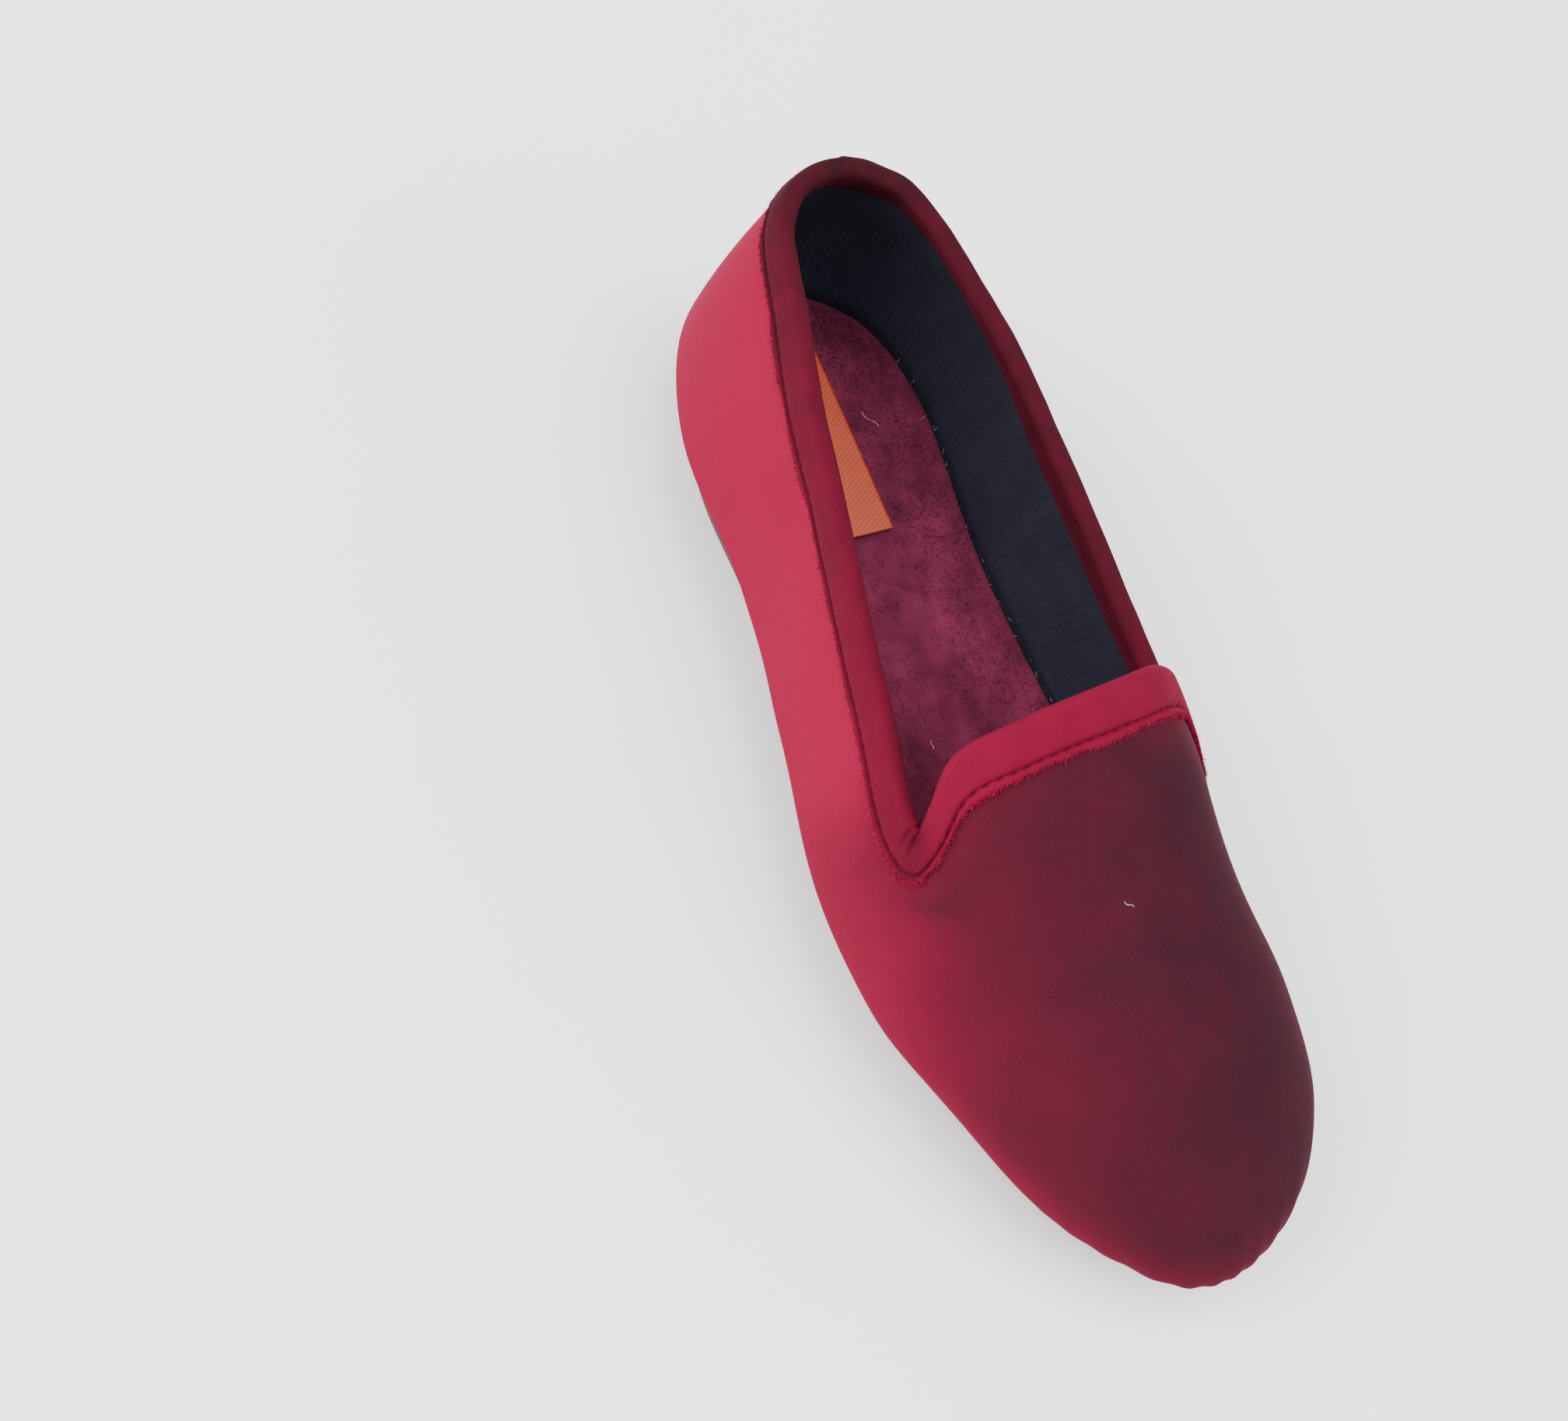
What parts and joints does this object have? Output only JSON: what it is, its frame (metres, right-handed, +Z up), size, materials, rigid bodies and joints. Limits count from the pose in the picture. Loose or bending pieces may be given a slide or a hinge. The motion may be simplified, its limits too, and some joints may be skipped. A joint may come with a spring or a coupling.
{
  "type": "house slipper",
  "caption": "Closed-back velvet house slipper, right foot, with a raised vamp tab, bound topline, plush insole and moulded rubber sole.",
  "frame": {"origin": "centre of the shoe's box, on the floor that the tread stands on", "axes": "+X from heel to toe, +Y to the inner side of the right foot, +Z up"},
  "size_m": [0.2512, 0.0924, 0.0737],
  "materials": {
    "rubber": "moulded, matt, maroon",
    "velvet": "short-pile velvet, crimson",
    "binding": "folded velvet strip, stitched",
    "plush": "brushed plush, burgundy",
    "label": "woven, orange, blank"
  },
  "bodies": {
    "root": {"outsole": "rubber", "upper": "velvet", "collar_binding": "binding", "insole": "plush", "insole_label": "label"}
  },
  "joints": []
}
